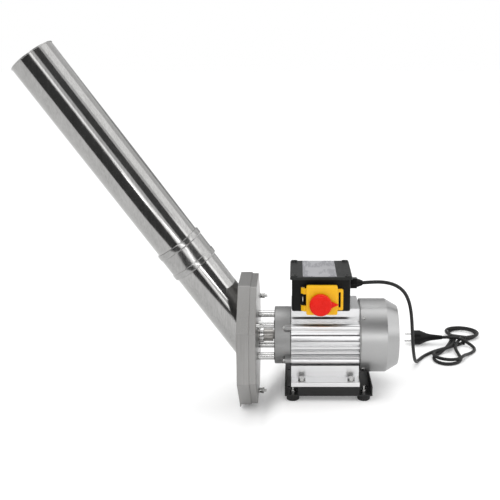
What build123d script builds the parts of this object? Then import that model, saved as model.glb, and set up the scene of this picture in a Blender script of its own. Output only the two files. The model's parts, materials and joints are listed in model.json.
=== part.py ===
from build123d import *
from math import sin, cos, tan, radians, pi
import os

# Direct-drive grain feeder: a sloped tube drops grain into a flat octagonal housing, where blades
# on the motor's shaft cut and throw it out through the open bottom. Millimetres, +Z up.
# Origin: centre of the four fixing holes of the base, on the underside of the base frame.
# X runs along the shaft, from the housing (-X) to the fan cover (+X).

# ---- driving sizes -------------------------------------------------------------------------
shaft_height = 86.6  # shaft axis above the motor's feet
rail_height = 21.0
angle_thick = 3.0
pad_height = 13.0  # rubber feet
base_length = 190.0  # outer length of the base along X
base_depth = 186.0
plate_x = -155.0  # rear face of the housing
axis_z = rail_height + shaft_height
table_z = -pad_height

sheet = 2.0
cover_flats = 274.0  # octagon across flats
cover_depth = 26.0
pan_depth = 14.0  # part of the pan that shows behind the cover
pan_overlap = 6.0
pan_gap = 0.5
housing_depth = cover_depth + pan_depth
housing_drop = 6.6  # housing's centre below the shaft axis

tube_od = 100.0
tube_wall = 1.5
tube_slope = 36.0  # from vertical
tube_below_top = 16.2  # housing's top edge to the top of the tube, at the cover's face
tube_reach = 717.5  # from the cover's face to the mouth, along the tube
collar_start = 161.5
collar_length = 68.5
tube_gap = 1.2  # left between the two tubes inside the collar
tube_slip = 0.05  # radial running clearance of the upper tube in the collar

standoff_length = 37.0
standoff_d = 16.0
standoff_pcd = 104.0

shaft_d = 19.0
body_front = 74.0  # motor body, behind the housing's rear face
body_length = 148.0
body_r = 66.0
fin_r = 76.0
bore_r = 60.0
foot_half = 93.0
foot_thick = 10.5
run_gap = 0.05  # radial running clearance on the shaft

box_length = 125.0
box_depth = 135.0
box_height = 70.0
box_wall = 3.0
lid_thick = 6.0
lid_over = 4.0

cord_d = 8.0


# ---- helpers -------------------------------------------------------------------------------
def across(x):
    # plane square to the shaft, x behind the housing's rear face; local x is +Y, local y is +Z
    return Plane(origin=(plate_x + x, 0, axis_z), x_dir=(0, 1, 0), z_dir=(1, 0, 0))


def housing(x):
    # the same, centred on the housing, which sits a little below the shaft
    return Plane(origin=(plate_x + x, 0, axis_z - housing_drop), x_dir=(0, 1, 0), z_dir=(1, 0, 0))


def level(z, x=0.0, y=0.0):
    # horizontal plane at height z above the shaft axis, with its origin x behind the rear face
    return Plane(origin=(plate_x + x, y, axis_z + z), x_dir=(1, 0, 0), z_dir=(0, 0, 1))


def facing(y, x=0.0, z=0.0):
    # upright plane that faces the near side (-Y); local x is +X, local y is +Z
    return Plane(origin=(plate_x + x, y, axis_z + z), x_dir=(1, 0, 0), z_dir=(0, -1, 0))


def octagon(flats):
    RegularPolygon(flats / 2, 8, major_radius=False, rotation=22.5)


def save(piece, name):
    piece.part.label = name
    export_step(piece.part, "parts/" + name + ".step")
    print(name, len(piece.part.solids()), round(piece.part.volume))


os.makedirs("parts", exist_ok=True)

# ---- housing -------------------------------------------------------------------------------
pan_flats = cover_flats - 2 * sheet - 2 * pan_gap
stud_d = 6.0
stud_play = 0.3
screw_play = 0.2
stud_r = cover_flats / 2 - 9
stud_angles = (30, 150, 270)
stud_spots = [(stud_r * cos(radians(a)), stud_r * sin(radians(a))) for a in stud_angles]
hub_d = 28.0
outlet_floor = -housing_drop - cover_flats / 2 - 5
outlet_cut = 20.0
outlet_half = 50.0
outlet_length = housing_depth - 2 * sheet - 6
rod_half = standoff_pcd / 2 * cos(radians(45))
rod_spots = [(y, z) for y in (-rod_half, rod_half) for z in (-rod_half, rod_half)]
screw_d = 8.0

with BuildPart() as rear_pan:
    with BuildSketch(housing(-pan_depth - pan_overlap)):
        octagon(pan_flats)
    extrude(amount=pan_depth + pan_overlap)
    with BuildSketch(housing(-pan_depth - pan_overlap)):
        octagon(pan_flats - 2 * sheet)
    extrude(amount=pan_depth + pan_overlap - sheet, mode=Mode.SUBTRACT)
    with BuildSketch(across(-sheet)):
        Circle(hub_d / 2 + 2)
        with Locations(*rod_spots):
            Circle(screw_d / 2 + screw_play)
    extrude(amount=sheet, mode=Mode.SUBTRACT)
    with BuildSketch(housing(-sheet)):
        with Locations(*stud_spots):
            Circle(stud_d / 2 + stud_play)
    extrude(amount=sheet, mode=Mode.SUBTRACT)
    with BuildSketch(level(outlet_floor, -housing_depth / 2 + 1)):
        Rectangle(outlet_length, 2 * outlet_half)
    extrude(amount=outlet_cut, mode=Mode.SUBTRACT)
save(rear_pan, "rear_pan")

tube_dir = Vector(-sin(radians(tube_slope)), 0, cos(radians(tube_slope)))
tube_entry = cover_flats / 2 - tube_below_top - tube_od / 2 / sin(radians(tube_slope))
tube_root = Vector(plate_x - housing_depth, 0, axis_z - housing_drop + tube_entry)
tube_overrun = 1.2 * tube_od  # past the cover's face, for the mitred end


def along_tube(s):
    return Plane(origin=tube_root + tube_dir * s, x_dir=(0, 1, 0), z_dir=tube_dir)


lip_drop = 7.0
lip_angle = 75
octagon_side = cover_flats * tan(radians(22.5))
with BuildPart() as front_cover:
    with BuildSketch(housing(-housing_depth)):
        octagon(cover_flats)
    extrude(amount=cover_depth)
    with BuildSketch(housing(-housing_depth + sheet)):
        octagon(cover_flats - 2 * sheet)
    extrude(amount=cover_depth - sheet, mode=Mode.SUBTRACT)
    with BuildSketch(housing(-housing_depth)):
        with Locations((0, -cover_flats / 2)):
            Trapezoid(octagon_side, 2 * lip_drop, lip_angle, rotation=180)
    extrude(amount=sheet)
    with BuildSketch(housing(-housing_depth + sheet)):
        with Locations((0, -cover_flats / 2 + lip_drop / 2 + sheet)):
            Rectangle(octagon_side, lip_drop)
    extrude(amount=cover_depth, mode=Mode.SUBTRACT)
    with BuildSketch(level(outlet_floor, -housing_depth / 2 + 1)):
        Rectangle(outlet_length, 2 * outlet_half)
    extrude(amount=outlet_cut, mode=Mode.SUBTRACT)
    with BuildSketch(along_tube(-tube_overrun)):
        Circle(tube_od / 2 - tube_wall)
    extrude(amount=2 * tube_overrun, mode=Mode.SUBTRACT)
save(front_cover, "front_cover")

# studs welded inside the cover come out through the pan
stud_out = 17.0
with BuildPart() as cover_studs:
    with BuildSketch(housing(-housing_depth + sheet)):
        with Locations(*stud_spots):
            Circle(stud_d / 2)
    extrude(amount=housing_depth - sheet + stud_out)
save(cover_studs, "cover_studs")

# wing nuts: a round boss with two rising wings
wing_gap = 0.3
wing_boss_r = 6.0
wing_boss = 8.0
wing_half = 1.3
for number, spot in enumerate(stud_spots):
    with BuildPart() as wing_nut:
        with BuildSketch(housing(wing_gap)):
            with Locations(spot):
                Circle(wing_boss_r)
        extrude(amount=wing_boss)
        wing_z = axis_z - housing_drop + spot[1]
        with BuildSketch(Plane(origin=(plate_x + wing_gap, spot[0], wing_z),
                               x_dir=(0, 1, 0), z_dir=(0, 0, 1))):
            Polygon((-5, -1), (5, -1), (13, -7), (14, -10), (12, -12), (5, -7), (-5, -7),
                    (-12, -12), (-14, -10), (-13, -7), align=None)
        extrude(amount=wing_half, both=True)
        with BuildSketch(housing(wing_gap)):
            with Locations(spot):
                Circle(stud_d / 2 + run_gap)
        extrude(amount=2 * stud_out, mode=Mode.SUBTRACT)
    save(wing_nut, "wing_nut_" + str(number + 1))

# ---- feed tube -----------------------------------------------------------------------------
tube_joint = collar_start + collar_length / 2
with BuildPart() as lower_feed_tube:
    with BuildSketch(along_tube(-tube_overrun)):
        Circle(tube_od / 2)
        Circle(tube_od / 2 - tube_wall, mode=Mode.SUBTRACT)
    extrude(amount=tube_overrun + tube_joint)
    split(bisect_by=Plane(origin=(plate_x - housing_depth, 0, 0), z_dir=(-1, 0, 0)))
save(lower_feed_tube, "lower_feed_tube")

# welded on the lower tube; the upper tube slips into its top half
bead_out = 3.6
bead_width = 13.0
with BuildPart() as tube_collar:
    with BuildSketch(along_tube(collar_start)):
        Circle(tube_od / 2 + 2)
    extrude(amount=collar_length)
    for start in (0, collar_length - bead_width):
        with BuildSketch(along_tube(collar_start + start)):
            Circle(tube_od / 2 + bead_out)
        extrude(amount=bead_width)
    outer = tube_collar.edges().filter_by(GeomType.CIRCLE).sort_by(SortBy.RADIUS)[-4:]
    chamfer(outer, 1.2)
    with BuildSketch(along_tube(collar_start)):
        Circle(tube_od / 2)
    extrude(amount=collar_length, mode=Mode.SUBTRACT)
    with BuildSketch(along_tube(tube_joint)):
        Circle(tube_od / 2 + tube_slip)
    extrude(amount=collar_length / 2, mode=Mode.SUBTRACT)
save(tube_collar, "tube_collar")

with BuildPart() as upper_feed_tube:
    with BuildSketch(along_tube(tube_joint + tube_gap)):
        Circle(tube_od / 2)
        Circle(tube_od / 2 - tube_wall, mode=Mode.SUBTRACT)
    extrude(amount=tube_reach - tube_joint - tube_gap)
save(upper_feed_tube, "upper_feed_tube")

# ---- standoffs between the housing and the motor -------------------------------------------
with BuildPart() as standoff_rods:
    with BuildSketch(across(0)):
        with Locations(*rod_spots):
            Circle(standoff_d / 2)
    extrude(amount=standoff_length)
    chamfer(standoff_rods.edges().filter_by(GeomType.CIRCLE), 0.6)
    with BuildSketch(across(0)):
        with Locations(*rod_spots):
            Circle(screw_d / 2)
    extrude(amount=16, mode=Mode.SUBTRACT)
    with BuildSketch(across(standoff_length)):
        with Locations(*rod_spots):
            Circle(screw_d / 2)
    extrude(amount=9)
save(standoff_rods, "standoff_rods")

with BuildPart() as standoff_screws:
    with BuildSketch(across(-sheet)):
        with Locations(*rod_spots):
            Circle(screw_d / 2)
    extrude(amount=14)
    with BuildSketch(across(-sheet - 4.5)):
        with Locations(*rod_spots):
            Circle(7.0)
    extrude(amount=4.5)
save(standoff_screws, "standoff_screws")

# ---- rotor ---------------------------------------------------------------------------------
disc_r = cover_flats / 2 - 19
disc_thick = 3.0
disc_back = -13.0
hub_end = 34.0
flange_r = 32.0
flange_thick = 5.0
bolt_d = 8.0
hub_screw_ring = 23.0
hub_screw_r = 2.5
blade_screw_rings = (50, 94)
blade_screw_r = 2.0
with BuildPart() as rotor_hub:
    with BuildSketch(across(disc_back)):
        Circle(flange_r)
    extrude(amount=flange_thick)
    with BuildSketch(across(disc_back)):
        Circle(hub_d / 2)
    extrude(amount=hub_end - disc_back)
    with BuildSketch(across(disc_back)):
        Circle(shaft_d / 2)
    extrude(amount=hub_end - disc_back, mode=Mode.SUBTRACT)
    with BuildSketch(across(disc_back)):
        with PolarLocations(hub_screw_ring, 3):
            Circle(hub_screw_r)
    extrude(amount=flange_thick, mode=Mode.SUBTRACT)
save(rotor_hub, "rotor_hub")

collar_x = 3.0
with BuildPart() as shaft_collar:
    with BuildSketch(across(collar_x)):
        Circle(hub_d / 2 + 4)
        Circle(hub_d / 2, mode=Mode.SUBTRACT)
    extrude(amount=10)
    chamfer(shaft_collar.edges().filter_by(GeomType.CIRCLE).sort_by(SortBy.RADIUS)[-2:], 0.8)
    with BuildSketch(facing(-hub_d / 2 - 6, collar_x + 5)):
        Circle(2.5)
    extrude(amount=-6, mode=Mode.SUBTRACT)
save(shaft_collar, "shaft_collar")

with BuildPart() as collar_screw:
    with BuildSketch(facing(-hub_d / 2 - 7, collar_x + 5)):
        Circle(2.5)
    extrude(amount=-6.8)
save(collar_screw, "collar_screw")

with BuildPart() as rotor_disc:
    with BuildSketch(across(disc_back - disc_thick)):
        Circle(disc_r)
        Circle(bolt_d / 2, mode=Mode.SUBTRACT)
        with PolarLocations(hub_screw_ring, 3):
            Circle(hub_screw_r, mode=Mode.SUBTRACT)
        with PolarLocations(70, 3, start_angle=38):
            SlotOverall(56, 12, mode=Mode.SUBTRACT)
        for ring in blade_screw_rings:
            with PolarLocations(ring, 3):
                Circle(blade_screw_r, mode=Mode.SUBTRACT)
    extrude(amount=disc_thick)
save(rotor_disc, "rotor_disc")

blade_length = 78.0
blade_width = 24.0
blade_thick = 3.0
blade_mid = 72.0
with BuildPart() as cutter_blades:
    with BuildSketch(across(disc_back - disc_thick - blade_thick)):
        with PolarLocations(blade_mid, 3):
            Rectangle(blade_length, blade_width)
        for ring in blade_screw_rings:
            with PolarLocations(ring, 3):
                Circle(blade_screw_r, mode=Mode.SUBTRACT)
    extrude(amount=blade_thick)
save(cutter_blades, "cutter_blades")

with BuildPart() as blade_screws:
    with BuildSketch(across(disc_back - disc_thick - blade_thick)):
        for ring in blade_screw_rings:
            with PolarLocations(ring, 3):
                Circle(blade_screw_r)
    extrude(amount=blade_thick + disc_thick)
    with BuildSketch(across(disc_back - disc_thick - blade_thick - 2)):
        for ring in blade_screw_rings:
            with PolarLocations(ring, 3):
                Circle(2 * blade_screw_r)
    extrude(amount=2)
save(blade_screws, "blade_screws")

with BuildPart() as disc_screws:
    with BuildSketch(across(disc_back - disc_thick)):
        with PolarLocations(hub_screw_ring, 3):
            Circle(hub_screw_r)
    extrude(amount=disc_thick + flange_thick)
    with BuildSketch(across(disc_back - disc_thick - 3)):
        with PolarLocations(hub_screw_ring, 3):
            Circle(hub_screw_r + 1.7)
    extrude(amount=3)
save(disc_screws, "disc_screws")

with BuildPart() as rotor_bolt:
    with BuildSketch(across(disc_back - disc_thick - 2)):
        Circle(14)
    extrude(amount=2)
    with BuildSketch(across(disc_back - disc_thick - 8)):
        RegularPolygon(6.5, 6, major_radius=False)
    extrude(amount=6)
    with BuildSketch(across(disc_back - disc_thick)):
        Circle(bolt_d / 2)
    extrude(amount=disc_thick + 20)
save(rotor_bolt, "rotor_bolt")

# ---- motor: shaft, bearings, rotor core, fan -----------------------------------------------
shield_depth = body_front - standoff_length
front_seat = standoff_length + 7.0
bearing_wide = 14.0
front_bearing_r = 23.5
front_seat_r = 10.0
core_r = 35.0
core_bore = 13.0
core_x = body_front + 34
core_length = body_length - 68
body_back = body_front + body_length
rear_shield_depth = 14.0
rear_seat_r = 8.5
rear_bearing_r = 20.0
rear_bearing_wide = 12.0
rear_seat = body_back + 2.0
fan_x = body_back + 32
fan_width = 26.0

with BuildPart() as motor_shaft:
    with BuildSketch(across(disc_back)):
        Circle(shaft_d / 2)
    extrude(amount=front_seat - disc_back)
    with BuildSketch(across(front_seat)):
        Circle(front_seat_r)
    extrude(amount=bearing_wide)
    with BuildSketch(across(front_seat + bearing_wide)):
        Circle(core_bore)
    extrude(amount=rear_seat - front_seat - bearing_wide)
    with BuildSketch(across(rear_seat)):
        Circle(rear_seat_r)
    extrude(amount=fan_x + fan_width + 4 - rear_seat)
    with BuildSketch(across(disc_back)):
        Circle(bolt_d / 2)
    extrude(amount=20, mode=Mode.SUBTRACT)
save(motor_shaft, "motor_shaft")

with BuildPart() as front_bearing:
    with BuildSketch(across(front_seat)):
        Circle(front_bearing_r)
        Circle(front_seat_r + run_gap, mode=Mode.SUBTRACT)
    extrude(amount=bearing_wide - 0.3)
save(front_bearing, "front_bearing")

with BuildPart() as rear_bearing:
    with BuildSketch(across(rear_seat + 0.3)):
        Circle(rear_bearing_r)
        Circle(rear_seat_r + run_gap, mode=Mode.SUBTRACT)
    extrude(amount=rear_bearing_wide - 0.3)
save(rear_bearing, "rear_bearing")

with BuildPart() as rotor_core:
    with BuildSketch(across(core_x)):
        Circle(core_r)
        Circle(core_bore, mode=Mode.SUBTRACT)
    extrude(amount=core_length)
save(rotor_core, "rotor_core")

fan_r = 66.0
with BuildPart() as cooling_fan:
    with BuildSketch(across(fan_x)):
        Circle(fan_r)
    extrude(amount=2)
    with BuildSketch(across(fan_x)):
        Circle(15)
        with PolarLocations(40, 8):
            Rectangle(2 * (fan_r - 40), 2.4)
    extrude(amount=fan_width)
    with BuildSketch(across(fan_x)):
        Circle(rear_seat_r)
    extrude(amount=fan_width, mode=Mode.SUBTRACT)
save(cooling_fan, "cooling_fan")

with BuildPart() as stator_core:
    with BuildSketch(across(core_x)):
        Circle(bore_r)
        Circle(core_r + 0.5, mode=Mode.SUBTRACT)
    extrude(amount=core_length)
save(stator_core, "stator_core")

winding_length = 20.0
with BuildPart() as stator_windings:
    for start in (core_x - winding_length, core_x + core_length):
        with BuildSketch(across(start)):
            Circle(bore_r - 4)
            Circle(core_r + 3, mode=Mode.SUBTRACT)
        extrude(amount=winding_length)
save(stator_windings, "stator_windings")

# ---- motor: shields, body, bolts -----------------------------------------------------------
shield_r = 64.0
tie_r = 71.0
tie_d = 5.0
lug_r = 7.5
tie_angles = (32, 148, 212, 328)
tie_spots = [(tie_r * cos(radians(a)), tie_r * sin(radians(a))) for a in tie_angles]
with BuildPart() as front_endshield:
    with BuildSketch(across(standoff_length)):
        Circle(shield_r)
    extrude(amount=shield_depth)
    chamfer(front_endshield.edges().filter_by(GeomType.CIRCLE), 1.5)
    with BuildSketch(across(body_front - 14)):
        with Locations(*tie_spots):
            Circle(lug_r)
        for a in tie_angles:
            with Locations(Location((0, 0), a)):
                with Locations((tie_r - 9, 0)):
                    Rectangle(18, 2 * lug_r)
    extrude(amount=14)
    with BuildSketch(across(front_seat + bearing_wide)):
        Circle(bore_r - 4)
    extrude(amount=body_front - front_seat - bearing_wide, mode=Mode.SUBTRACT)
    with BuildSketch(across(front_seat)):
        Circle(front_bearing_r)
    extrude(amount=bearing_wide, mode=Mode.SUBTRACT)
    with BuildSketch(across(standoff_length)):
        Circle(shaft_d / 2 + 4)
        with Locations(*rod_spots):
            Circle(screw_d / 2)
    extrude(amount=front_seat - standoff_length + 2.5, mode=Mode.SUBTRACT)
    with BuildSketch(across(body_front - 14)):
        with Locations(*tie_spots):
            Circle(tie_d / 2)
    extrude(amount=14, mode=Mode.SUBTRACT)
save(front_endshield, "front_endshield")

fin_pitch = 12.0
fin_thick = 4.0
fin_rows = [fin_pitch * k - 4 for k in range(-3, 6)]
top_pad_half = 48.0
top_pad_z = 76.5
leg_half = 62.0
leg_top = -50.0
cable_x = body_front + body_length / 2 - 20
cable_r = 8.0
foot_bolt_x = (body_front + 23, body_front + body_length - 18)
foot_bolt_y = base_depth / 2 - 12
foot_bolt_d = 8.0
with BuildPart() as motor_body:
    with BuildSketch(across(body_front)):
        Circle(body_r)
        with Locations(*[(0, z) for z in fin_rows]):
            Rectangle(2 * fin_r, fin_thick)
        Circle(fin_r, mode=Mode.INTERSECT)
        with Locations(*tie_spots):
            Circle(lug_r)
        with Locations((0, top_pad_z / 2)):
            Rectangle(2 * top_pad_half, top_pad_z)
        with Locations((0, (leg_top - shaft_height) / 2)):
            Rectangle(2 * leg_half, shaft_height + leg_top)
        with Locations((0, -shaft_height + foot_thick / 2)):
            Rectangle(2 * foot_half, foot_thick)
        Circle(bore_r, mode=Mode.SUBTRACT)
        with Locations(*tie_spots):
            Circle(tie_d / 2, mode=Mode.SUBTRACT)
        with Locations((0, -shaft_height)):
            Rectangle(2 * leg_half - 24, 24, mode=Mode.SUBTRACT)
    extrude(amount=body_length)
    with BuildSketch(level(top_pad_z - 30, cable_x)):
        Circle(cable_r)
    extrude(amount=30, mode=Mode.SUBTRACT)
    foot_edges = motor_body.edges().filter_by(Axis.X)
    fillet(foot_edges.filter_by(lambda edge: abs(edge.center().Y) > foot_half - 0.1), 1.5)
    with BuildSketch(level(-shaft_height)):
        with Locations(*[(x, y) for x in foot_bolt_x for y in (-foot_bolt_y, foot_bolt_y)]):
            Circle(foot_bolt_d / 2)
    extrude(amount=foot_thick, mode=Mode.SUBTRACT)
save(motor_body, "motor_body")

rear_flange_r = 78.0
cover_r = 82.0
cover_wall = 1.5
with BuildPart() as rear_endshield:
    with BuildSketch(across(body_back)):
        Circle(rear_flange_r)
    extrude(amount=rear_shield_depth)
    with BuildSketch(across(body_back + 4)):
        Circle(cover_r - cover_wall)
    extrude(amount=rear_shield_depth - 4)
    with BuildSketch(across(body_back)):
        Circle(core_bore + 3)
    extrude(amount=2, mode=Mode.SUBTRACT)
    with BuildSketch(across(body_back + 2)):
        Circle(rear_bearing_r)
    extrude(amount=rear_bearing_wide, mode=Mode.SUBTRACT)
    with BuildSketch(across(body_back)):
        with Locations(*tie_spots):
            Circle(tie_d / 2, mode=Mode.ADD)
    extrude(amount=rear_shield_depth, mode=Mode.SUBTRACT)
    with BuildSketch(across(body_back)):
        with PolarLocations(50, 6):
            Circle(9)
    extrude(amount=rear_shield_depth, mode=Mode.SUBTRACT)
save(rear_endshield, "rear_endshield")

with BuildPart() as tie_bolts:
    with BuildSketch(across(body_front - 14)):
        with Locations(*tie_spots):
            Circle(tie_d / 2)
    extrude(amount=14 + body_length + rear_shield_depth)
    with BuildSketch(across(body_front - 18)):
        for y, z in tie_spots:
            with Locations((y, z)):
                RegularPolygon(4, 6, major_radius=False)
    extrude(amount=4)
    with BuildSketch(across(body_back + rear_shield_depth)):
        for y, z in tie_spots:
            with Locations((y, z)):
                RegularPolygon(4, 6, major_radius=False)
    extrude(amount=4)
save(tie_bolts, "tie_bolts")

cover_x0 = body_back + 3
cover_x1 = body_back + 87
cover_bend = body_back + 60
cover_end_r = 66.0
with BuildPart() as fan_cover:
    with BuildSketch(Plane(origin=(plate_x, 0, axis_z), x_dir=(1, 0, 0), z_dir=(0, -1, 0))):
        with BuildLine():
            Polyline((cover_x0, cover_r), (cover_bend, cover_r), (cover_x1, cover_end_r),
                     (cover_x1, 0), (cover_x1 - cover_wall, 0),
                     (cover_x1 - cover_wall, cover_end_r - cover_wall),
                     (cover_bend, cover_r - cover_wall), (cover_x0, cover_r - cover_wall),
                     close=True)
        make_face()
    revolve(axis=Axis((plate_x, 0, axis_z), (1, 0, 0)))
    with BuildSketch(across(cover_x1 - cover_wall)):
        for ring, count in ((22, 8), (38, 14), (54, 20)):
            with PolarLocations(ring, count):
                SlotOverall(13, 5)
    extrude(amount=cover_wall, mode=Mode.SUBTRACT)
    for a in (45, 135, 225, 315):
        spot = Plane(origin=(plate_x + body_back + 9, 0, axis_z), x_dir=(1, 0, 0),
                     z_dir=(0, cos(radians(a)), sin(radians(a))))
        with BuildSketch(spot.offset(cover_r - 4)):
            Circle(2)
        extrude(amount=8, mode=Mode.SUBTRACT)
save(fan_cover, "fan_cover")

with BuildPart() as fan_cover_screws:
    for a in (45, 135, 225, 315):
        spot = Plane(origin=(plate_x + body_back + 9, 0, axis_z), x_dir=(1, 0, 0),
                     z_dir=(0, cos(radians(a)), sin(radians(a))))
        with BuildSketch(spot.offset(cover_r - cover_wall)):
            Circle(2)
        extrude(amount=cover_wall + 0.6)
        with BuildSketch(spot.offset(cover_r + 0.1)):
            Circle(4)
        extrude(amount=2.2)
save(fan_cover_screws, "fan_cover_screws")

# ---- base: two rails under the motor's feet, an angle across each end, rubber feet ----------
rail_wide = 22.0
rail_wall = 2.0
rail_half = 66.0
base_mid = -plate_x  # the base's middle, behind the housing's rear face
rail_floor = -shaft_height - rail_height
rail_spots = [(side * foot_bolt_y, rail_floor + rail_height / 2) for side in (-1, 1)]
bolt_spots = [(x, y) for x in foot_bolt_x for y in (-foot_bolt_y, foot_bolt_y)]
with BuildPart() as cross_rails:
    with BuildSketch(across(base_mid - rail_half)):
        with Locations(*rail_spots):
            Rectangle(rail_wide, rail_height)
            Rectangle(rail_wide - 2 * rail_wall, rail_height - 2 * rail_wall, mode=Mode.SUBTRACT)
    extrude(amount=2 * rail_half)
    with BuildSketch(level(-shaft_height - rail_wall)):
        with Locations(*bolt_spots):
            Circle(foot_bolt_d / 2)
    extrude(amount=rail_wall, mode=Mode.SUBTRACT)
save(cross_rails, "cross_rails")

angle_wide = base_length / 2 - rail_half
pad_x = 77.3
pad_y = 77.0
pad_d = 28.0
pad_chamfer = 1.5
pad_stud_d = 6.0
pad_stud_in = 8.0
pad_stud_out = 15.5
pad_nut = 6.0
fix_x = base_length / 2 - 8.5
fix_y = 50.0
fix_d = 6.6
pad_spots = [(x, y) for x in (-pad_x, pad_x) for y in (-pad_y, pad_y)]
with BuildPart() as base_bars:
    with BuildSketch(Plane.XY):
        for side in (-1, 1):
            with Locations((side * (rail_half + angle_wide / 2), 0)):
                Rectangle(angle_wide, base_depth)
        with Locations(*pad_spots):
            Circle(pad_stud_d / 2, mode=Mode.SUBTRACT)
        with GridLocations(2 * fix_x, 2 * fix_y, 2, 2):
            Circle(fix_d / 2, mode=Mode.SUBTRACT)
    extrude(amount=angle_thick)
    with BuildSketch(Plane.XY):
        for side in (-1, 1):
            with Locations((side * (base_length / 2 - angle_thick / 2), 0)):
                Rectangle(angle_thick, base_depth)
    extrude(amount=rail_height)
save(base_bars, "base_bars")

with BuildPart() as rubber_feet:
    with BuildSketch(Plane.XY.offset(-pad_height)):
        with Locations(*pad_spots):
            Circle(pad_d / 2)
    extrude(amount=pad_height)
    chamfer(rubber_feet.edges().group_by(Axis.Z)[0], pad_chamfer)
    with BuildSketch(Plane.XY.offset(-pad_stud_in)):
        with Locations(*pad_spots):
            Circle(pad_stud_d / 2)
    extrude(amount=pad_stud_in, mode=Mode.SUBTRACT)
save(rubber_feet, "rubber_feet")

with BuildPart() as pad_studs:
    with BuildSketch(Plane.XY.offset(-pad_stud_in)):
        with Locations(*pad_spots):
            Circle(pad_stud_d / 2)
    extrude(amount=pad_stud_in + angle_thick + pad_stud_out)
save(pad_studs, "foot_studs")

with BuildPart() as pad_nuts:
    with BuildSketch(Plane.XY.offset(angle_thick)):
        for spot in pad_spots:
            with Locations(spot):
                RegularPolygon(5, 6, major_radius=False)
                Circle(pad_stud_d / 2, mode=Mode.SUBTRACT)
    extrude(amount=pad_nut)
save(pad_nuts, "foot_nuts")

# the motor's bolts go through the rails' top wall into nuts welded under it
nut_flats = 13.0
nut_tall = 6.5
bolt_end = 1.5
washer_r = 8.0
washer_thick = 1.6
head_tall = 5.3
with BuildPart() as foot_bolts:
    with BuildSketch(level(-shaft_height - rail_wall - nut_tall - bolt_end)):
        with Locations(*bolt_spots):
            Circle(foot_bolt_d / 2)
    extrude(amount=bolt_end + nut_tall + rail_wall + foot_thick)
    with BuildSketch(level(-shaft_height + foot_thick)):
        with Locations(*bolt_spots):
            Circle(washer_r)
    extrude(amount=washer_thick)
    with BuildSketch(level(-shaft_height + foot_thick + washer_thick)):
        for spot in bolt_spots:
            with Locations(spot):
                RegularPolygon(nut_flats / 2, 6, major_radius=False)
    extrude(amount=head_tall)
save(foot_bolts, "foot_bolts")

with BuildPart() as bolt_nuts:
    with BuildSketch(level(-shaft_height - rail_wall - nut_tall)):
        for spot in bolt_spots:
            with Locations(spot):
                RegularPolygon(nut_flats / 2, 6, major_radius=False)
                Circle(foot_bolt_d / 2, mode=Mode.SUBTRACT)
    extrude(amount=nut_tall)
save(bolt_nuts, "bolt_nuts")

# ---- switch box on the motor ---------------------------------------------------------------
box_x0 = body_front + 1.5
box_mid = box_x0 + box_length / 2
box_top = top_pad_z + box_height
post_d = 9.0
post_x = box_length / 2 - 7
post_y = box_depth / 2 - 7
gland_y = -15.0
gland_z = 125.4
gland_d = 16.0
switch_x = 136.0
switch_z = 108.5
switch_wide = 60.0
switch_tall = 58.0
with BuildPart() as box_body:
    with BuildSketch(level(top_pad_z, box_mid)):
        RectangleRounded(box_length, box_depth, 5)
    extrude(amount=box_height)
    fillet(box_body.edges().group_by(Axis.Z)[0], 3)
    with BuildSketch(level(top_pad_z + box_wall, box_mid)):
        RectangleRounded(box_length - 2 * box_wall, box_depth - 2 * box_wall, 2.5)
    extrude(amount=box_height, mode=Mode.SUBTRACT)
    with BuildSketch(level(top_pad_z + box_wall, box_mid)):
        with GridLocations(2 * post_x, 2 * post_y, 2, 2):
            Circle(post_d / 2)
            Rectangle(post_d, post_d)
    extrude(amount=box_height - box_wall)
    with BuildSketch(level(top_pad_z, box_mid)):
        RectangleRounded(box_length, box_depth, 5)
    extrude(amount=box_height, mode=Mode.INTERSECT)
    with BuildSketch(level(box_top - 14, box_mid)):
        with GridLocations(2 * post_x, 2 * post_y, 2, 2):
            Circle(1.5)
    extrude(amount=14, mode=Mode.SUBTRACT)
    with BuildSketch(level(top_pad_z, cable_x)):
        Circle(cable_r)
    extrude(amount=box_wall, mode=Mode.SUBTRACT)
    with BuildSketch(across(box_x0 + box_length - box_wall)):
        with Locations((gland_y, gland_z)):
            Circle(gland_d / 2)
    extrude(amount=box_wall, mode=Mode.SUBTRACT)
    with BuildSketch(facing(-box_depth / 2 + box_wall, switch_x, switch_z)):
        Rectangle(switch_wide - 16, switch_tall - 16)
    extrude(amount=box_wall, mode=Mode.SUBTRACT)
save(box_body, "box_body")

with BuildPart() as lid_gasket:
    with BuildSketch(level(box_top, box_mid)):
        RectangleRounded(box_length - 1, box_depth - 1, 4.5)
        RectangleRounded(box_length - 5, box_depth - 5, 3, mode=Mode.SUBTRACT)
        with GridLocations(2 * post_x, 2 * post_y, 2, 2):
            Circle(1.5, mode=Mode.SUBTRACT)
    extrude(amount=1)
save(lid_gasket, "lid_gasket")

lid_floor = box_top + 1
lid_top = lid_floor + lid_thick
with BuildPart() as box_lid:
    with BuildSketch(level(lid_floor, box_mid)):
        RectangleRounded(box_length + 2 * lid_over, box_depth + 2 * lid_over, 6)
    extrude(amount=lid_thick)
    fillet(box_lid.edges().group_by(Axis.Z)[-1], 2)
    with BuildSketch(level(lid_top - 1, box_mid)):
        with GridLocations(2 * post_x + 4, 2 * post_y + 4, 2, 2):
            RectangleRounded(14, 14, 4)
    extrude(amount=3)
    with BuildSketch(level(lid_floor, box_mid)):
        RectangleRounded(box_length - 20, box_depth - 20, 4)
    extrude(amount=lid_thick - 3, mode=Mode.SUBTRACT)
    with BuildSketch(level(lid_floor, box_mid)):
        with GridLocations(2 * post_x, 2 * post_y, 2, 2):
            Circle(1.5)
    extrude(amount=lid_thick + 3, mode=Mode.SUBTRACT)
    with BuildSketch(level(lid_top - 1, box_mid)):
        with GridLocations(2 * post_x, 2 * post_y, 2, 2):
            Circle(3)
    extrude(amount=4, mode=Mode.SUBTRACT)
save(box_lid, "box_lid")

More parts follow.
